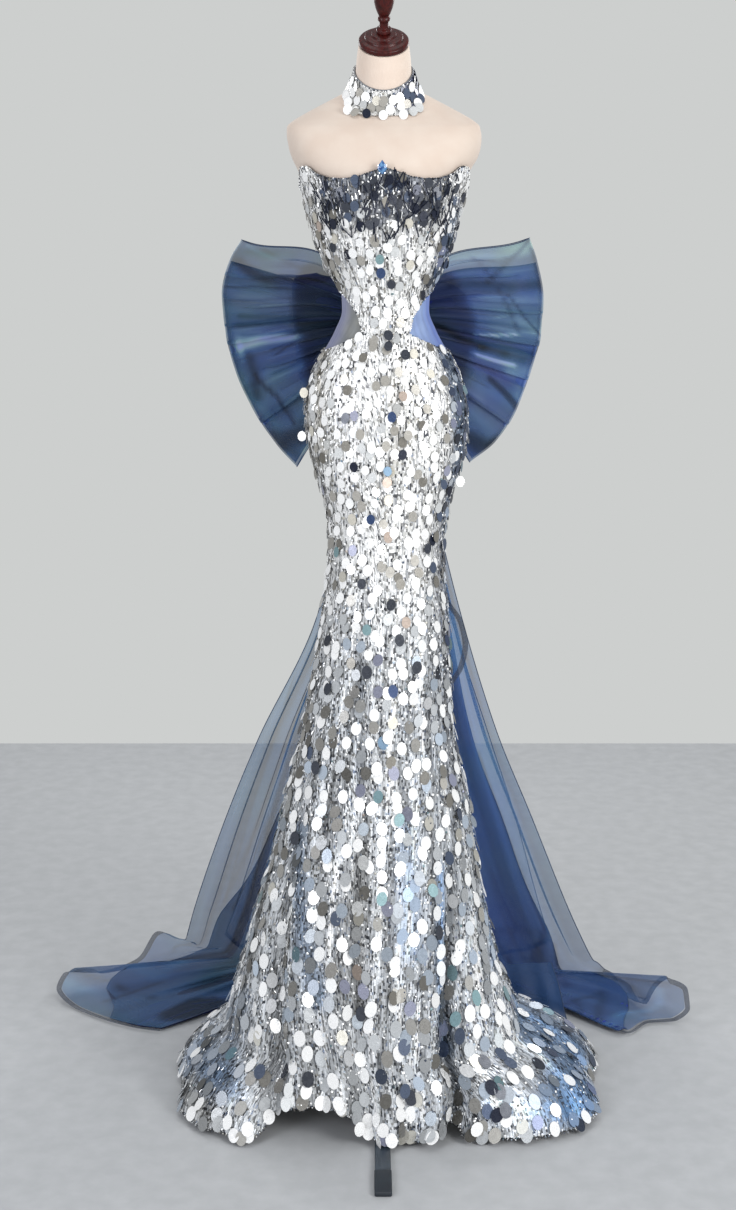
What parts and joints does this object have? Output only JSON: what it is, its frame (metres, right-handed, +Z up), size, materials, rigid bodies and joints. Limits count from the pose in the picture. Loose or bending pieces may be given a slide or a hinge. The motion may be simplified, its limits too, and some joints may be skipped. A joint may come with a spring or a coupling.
{
  "type": "evening gown on a dress form",
  "caption": "Strapless mermaid gown in sequinned cloth with mesh waist cut-outs, choker and an organza bow with trailing tails, on a limbless dress form with a flat-legged stand",
  "frame": {"origin": "Centre of the bounding box's base, on the floor under the stand.", "axes": "Z up, +X to the right of a viewer who faces the front of the gown, +Y from its front to its back. The gown faces -Y."},
  "size_m": [1.2684, 0.9568, 1.895],
  "materials": {
    "sequin_cloth": "silver sequins and paillettes on net",
    "stretch_mesh": "sheer grey-blue stretch mesh",
    "zip_tape": "woven zip tape",
    "blue_organza": "sheer blue organza",
    "navy_braid": "stiff navy braid",
    "ivory_jersey": "ivory jersey over a smooth form",
    "mahogany": "dark varnished mahogany",
    "painted_steel": "dark slate satin paint",
    "blue_crystal": "faceted pale blue crystal",
    "zip_metal": "polished nickel"
  },
  "bodies": {
    "gown_and_form": {"bodice_front": "sequin_cloth", "bodice_back_left": "sequin_cloth", "bodice_back_right": "sequin_cloth", "skirt_front": "sequin_cloth", "skirt_side_left": "sequin_cloth", "skirt_side_right": "sequin_cloth", "skirt_back_left": "sequin_cloth", "skirt_back_right": "sequin_cloth", "choker_band": "sequin_cloth", "waist_inset_left": "stretch_mesh", "waist_inset_right": "stretch_mesh", "back_zip": "zip_tape", "bow_loop_left": "blue_organza", "bow_loop_right": "blue_organza", "bow_knot": "blue_organza", "bow_tail_left": "blue_organza", "bow_tail_right": "blue_organza", "bow_tail_left_under": "blue_organza", "bow_tail_right_under": "blue_organza", "bow_short_end": "blue_organza", "braid_tail_left": "navy_braid", "braid_tail_right": "navy_braid", "braid_tail_left_under": "navy_braid", "braid_tail_right_under": "navy_braid", "braid_short_end": "navy_braid", "form_body": "ivory_jersey", "neck_cap": "mahogany", "neck_finial": "mahogany", "stand_hub": "painted_steel", "stand_pole": "painted_steel", "stand_leg_1": "painted_steel", "stand_leg_2": "painted_steel", "stand_leg_3": "painted_steel", "neckline_jewel": "blue_crystal", "zip_slider": "zip_metal", "choker_clasp": "zip_metal"},
    "zip_tab": {"zip_pull_tab": "zip_metal"}
  },
  "joints": [
    {"name": "zip_tab_hinge", "type": "hinge", "parent": "gown_and_form", "child": "zip_tab", "pos_m": [0.0121, -0.06015, 1.5275], "axis": [1, 0, 0], "range_deg": [0, 150]}
  ]
}
